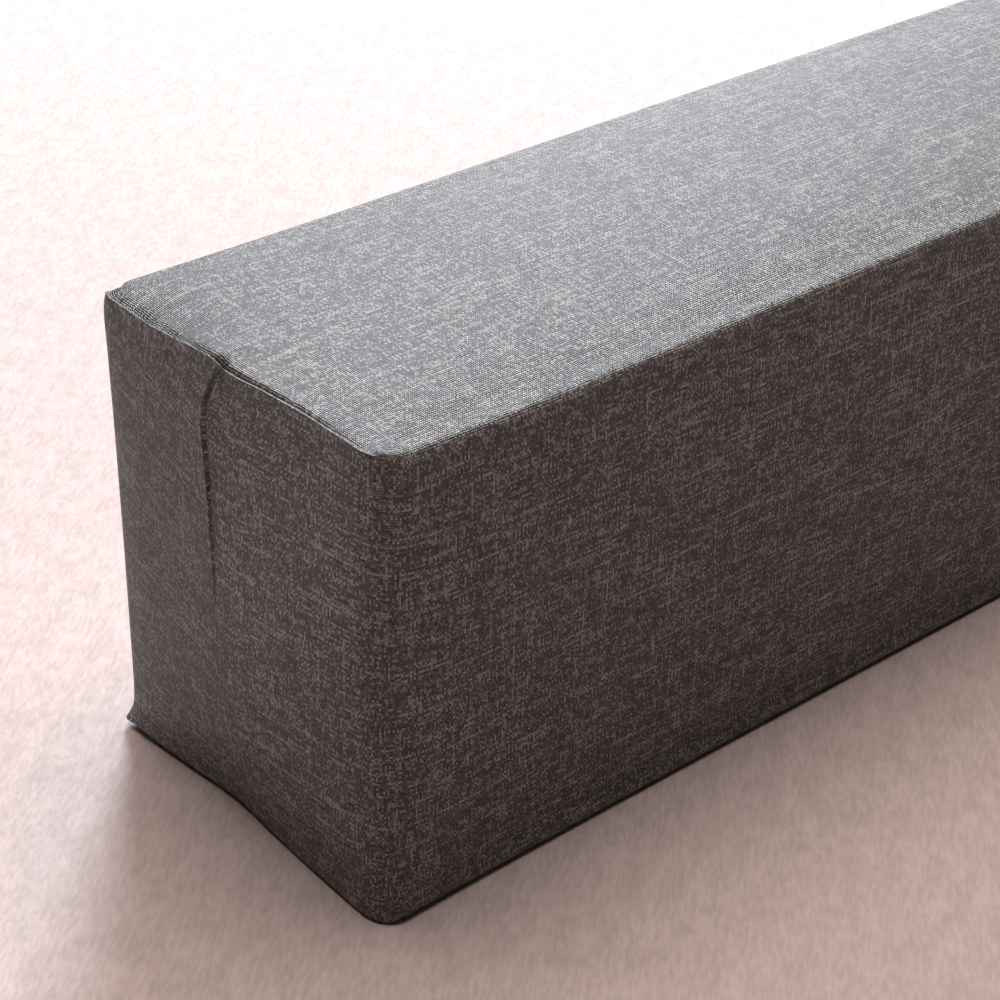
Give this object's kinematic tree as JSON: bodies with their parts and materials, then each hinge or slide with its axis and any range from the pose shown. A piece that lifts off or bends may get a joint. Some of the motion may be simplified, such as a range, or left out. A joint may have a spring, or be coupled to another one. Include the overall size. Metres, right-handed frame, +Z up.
{
  "type": "bed gap filler",
  "caption": "Long filled block in a woven cloth cover that fills the gap along a bed, with seamed end flaps.",
  "frame": {"origin": "under the middle of the block, on the surface that it lies on", "axes": "+Z up, X along the block's length with the seamed end that shows at -X, +Y to the back"},
  "size_m": [1.999, 0.1572, 0.1799],
  "materials": {
    "cover_cloth": "matt, heathered grey plain weave with a linen look"
  },
  "bodies": {
    "root": {"filled_block": "cover_cloth"}
  },
  "joints": []
}
